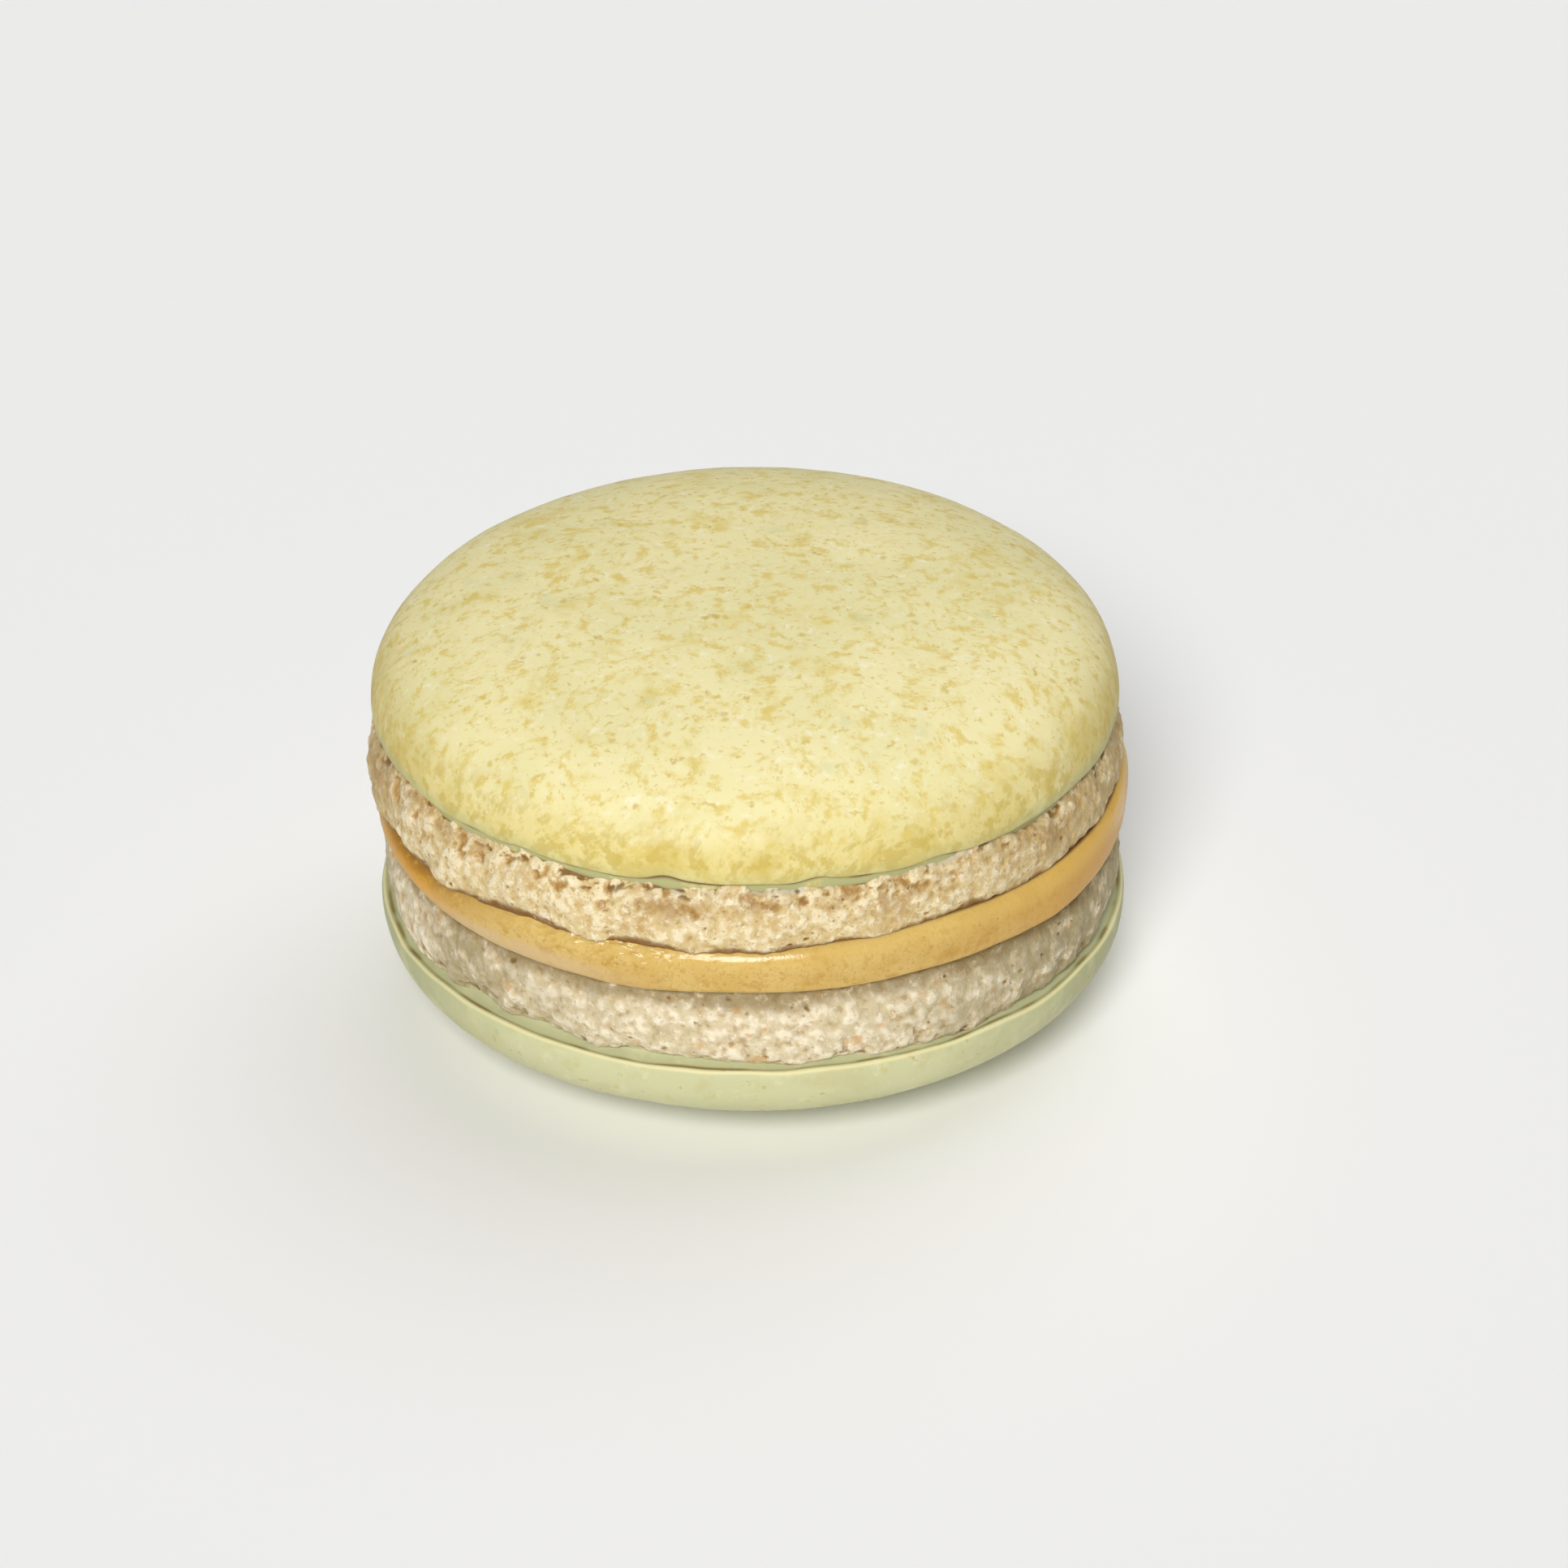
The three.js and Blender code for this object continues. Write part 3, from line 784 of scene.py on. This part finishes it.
# Filling: one soft layer, with a rounded shoulder under the upper foot.
cream = {
    "name": "creamFilling",
    "node": "filling",
    "centre": (0.23, 0.07),
    "sides": 96,
    "smoothing": 3,
    # (radius, share of the way from the lower edge to the upper edge)
    "rings": ((20.9, -0.03), (21.9, 0.0), (22.6, 0.02), (22.92, 0.12), (23.03, 0.32), (23.1, 0.52),
              (23.06, 0.7), (22.88, 0.84), (22.55, 0.94), (22.12, 0.99), (21.0, 1.01)),
    "lowerEdge": ((0, 12.15), (90, 12.1), (180, 12.4), (206, 12.35), (218, 12.0), (240, 12.0), (253, 11.9),
                  (268, 12.15), (282, 12.1), (304, 12.25), (327, 12.0)),
    "upperEdge": ((5, 15.6), (60, 15.35), (120, 15.05), (180, 14.75), (209, 14.65), (224, 14.8), (236, 15.2),
                  (270, 15.2), (284, 15.5), (300, 15.7), (325, 15.6)),
    "wander": {"size": 5.0, "depth": 0.12},
    "ripple": {"size": 1.1, "depth": 0.03, "detail": 2},
    "foldWarp": {"size": 1.5, "by": 0.5},
    "folds": {"size": 0.8, "width": 0.06, "height": 0.22},
    # where it is pressed in: (angle, half width, share, half height, by)
    "hollows": ((203, 20, 0.85, 0.35, 0.65), (120, 20, 0.6, 0.4, 0.3), (50, 14, 0.4, 0.4, 0.25)),
    "shownRadius": 22,              # only what lies outside it is pressed in
    "pressedTint": 2,               # how much painted shade a millimetre of that gives
    "innerRadii": (22.6, 22.3),     # between these the top turns in under the foot and takes painted shade, darker
    "innerBand": (0.85, 0.95),      # but only above these shares of its height
    "shoulderBand": (0.4, 0.65),    # shares between which the shoulder begins
    "floorReflectionBand": (0.55, 0.3),        # and down to which the painted reflection of the floor on the lower side becomes full
    # the shoulder is folded and wet in places, the lower side has a painted reflection of the floor,
    # and the side is deeper in colour: (angle, half width, amount)
    "folded": ((247, 11, 1.0), (100, 9, 0.8)),
    "wet": ((247, 13, 1.0), (276, 15, 1.0), (345, 5, 1.0), (90, 25, 0.8), (180, 15, 0.6)),
    "floorReflection": ((234, 19, 1.0), (60, 20, 0.6)),
    "rich": ((341, 32, 1.0), (206, 15, 1.0), (120, 30, 0.8)),
}


def makeCream(material):
    piece = extrudeRings(cream["name"], cream["rings"], cream["sides"], cream["centre"])
    smoothAndClose(piece, cream["smoothing"])

    def press(angle, radius, share):
        low, high = alongRound(cream["lowerEdge"], angle), alongRound(cream["upperEdge"], angle)
        pressed = sum(by * roundHump(angle, at, width) * hump(share, middle, reach)
                      for at, width, middle, reach, by in cream["hollows"])
        creviceShade = smoothStep(*cream["innerRadii"], radius) * smoothStep(*cream["innerBand"], share)
        if radius > cream["shownRadius"]:
            radius -= pressed
        folded, wet, floorReflection, rich = (
            min(1, sum(amount * roundHump(angle, at, width) for at, width, amount in cream[name]))
            for name in ("folded", "wet", "floorReflection", "rich"))
        onShoulder = smoothStep(*cream["shoulderBand"], share)
        return (radius, low + (high - low) * share, share, folded * onShoulder, wet * onShoulder,
                floorReflection * smoothStep(*cream["floorReflectionBand"], share), rich,
                min(1, pressed * cream["pressedTint"]), creviceShade)

    reshape(piece, cream["centre"], press,
            ("climb", "folded", "wet", "floorReflection", "rich", "pressed", "creviceShade"))
    tree, start, place, values = startRelief("creamRelief", ("folded",))
    height = addLumps(tree, place, cream["wander"])
    height = addLumps(tree, place, cream["ripple"], height)
    folding = warpPlace(tree, place, cream["foldWarp"])
    height = addFolds(tree, folding, cream["folds"], height, values["folded"])
    applyRelief(piece, tree, start, height)
    dressPiece(piece, cream, material)


creamFinish = {
    "base": "#d5b060",
    "patches": (
        (2.6, 3, 0.35, 0.65, "#dcbc70", 0.8),
        (1.8, 3, 0.54, 0.72, "#c4963a", 0.6),
        (0.7, 4, 0.50, 0.70, "#c2983f", 0.7),
        (0.22, 3, 0.48, 0.70, "#bb9142", 0.55),
    ),
    "rich": ("#d99c16", 0.85),
    # its upper half painted lighter, where it faces up to the light
    "shoulder": ("#e8c878", 0.5),
    "shoulderLightClimb": (0.5, 0.85),       # shares of its height between which it gets that painted light
    # painted reflection of the pale floor on the lower side
    "floorReflection": ((2.0, 3, 0.25, 0.45, "#d6b988", 0.8),),
    # painted shade in the pressed-in groove under the foot, partly golden-brown streaks
    "pressed": ((1.2, 4, 0.28, 0.52, "#a27129", 0.85),),
    # painted shade in the crevice under the upper foot
    "creviceShade": ("#6e4614", 0.9),
    "specks": {"spacing": 1.1, "radius": 0.15, "share": 0.35, "tint": "#94702e", "strength": 0.55},
    "roughness": 0.42,
    "wetShine": 0.24,
    "grain": (0.22, 4, 0.018),
    "gloss": 0.38,
    "letsIn": 0.3,
    "reach": (1.0, 0.7, 0.3),
    "reachScale": 0.8,
}


# Caramel butter cream: smooth and dense, wet along its shoulder, with a painted reflection of the pale floor
# on its lower side.
def creamMaterial():
    finish = creamFinish
    material, tree, place, values = newMaterial(
        "caramelButterCream", ("climb", "wet", "floorReflection", "rich", "pressed", "creviceShade"))
    colour = mottled(tree, linearColour(finish["base"]), place, finish["patches"], seed=31)
    colour = tinted(tree, colour, *finish["rich"], values["rich"])
    colour = tinted(tree, colour, *finish["shoulder"], values["climb"], *finish["shoulderLightClimb"])
    colour = mottled(tree, colour, place, finish["floorReflection"], seed=77, mask=values["floorReflection"])
    colour = mottled(tree, colour, place, finish["pressed"], seed=83, mask=values["pressed"])
    specks = finish["specks"]
    colour = tinted(tree, colour, specks["tint"], specks["strength"], pinholes(tree, place, specks))
    colour = tinted(tree, colour, *finish["creviceShade"], values["creviceShade"])
    roughness = addNode(tree, "ShaderNodeMath",
                        {0: values["wet"], 1: -finish["wetShine"], 2: finish["roughness"]},
                        operation="MULTIPLY_ADD")
    finishSurface(tree, place, colour, roughness, finish)
    return material


# Lights are far away, so that the floor is lit evenly.
studio = {
    "floorSize": 4000,
    "floorColour": "#fbfbfa",
    "floorRoughness": 0.9,
    "sky": {"colour": "#ffffff", "strength": 0.05},
    # lights: (name, side of the camera in degrees, elevation, strength, how wide it looks)
    "lights": (
        ("frontLight", -10, 38, 2.64, 24),
        ("backLight", 150, 60, 1.1, 60),
    ),
}


# Matt white paper: even and without any shine.
def paperMaterial():
    material, tree, _, _ = newMaterial("mattWhitePaper")
    shader = addNode(tree, "ShaderNodeBsdfPrincipled",
                     {"Base Color": linearColour(studio["floorColour"]),
                      "Roughness": studio["floorRoughness"]})
    addNode(tree, "ShaderNodeOutputMaterial", {0: shader})
    return material


def buildStudio():
    deselectAll()
    bpy.ops.mesh.primitive_plane_add(size=studio["floorSize"] * mm)
    floor = bpy.context.object
    floor.name = "floor"
    floor.data.materials.append(paperMaterial())
    world = scene.world or bpy.data.worlds.new("world")
    scene.world = world
    world.use_nodes = True
    world.node_tree.nodes.clear()
    sky = addNode(world.node_tree, "ShaderNodeBackground",
                  {"Color": linearColour(studio["sky"]["colour"]), "Strength": studio["sky"]["strength"]})
    addNode(world.node_tree, "ShaderNodeOutputWorld", {0: sky})
    for name, side, elevation, strength, width in studio["lights"]:
        turn, tilt = math.radians(side), math.radians(elevation)
        towards = Vector((math.sin(turn) * math.cos(tilt), -math.cos(turn) * math.cos(tilt), math.sin(tilt)))
        bpy.ops.object.light_add(type="SUN", location=towards)
        lamp = bpy.context.object
        lamp.name = name
        lamp.rotation_euler = towards.to_track_quat("Z", "Y").to_euler()
        lamp.data.energy = strength
        lamp.data.angle = math.radians(width)
    scene.view_settings.view_transform = "Standard"


for skin, which in ((upperSkin, "upper"), (lowerSkin, "lower")):
    makeSkin(skin, skinMaterial(which))
for foot, which in ((upperFoot, "upper"), (lowerFoot, "lower")):
    makeFoot(foot, crumbMaterial(which))
makeCream(creamMaterial())
buildStudio()
print("studio built")
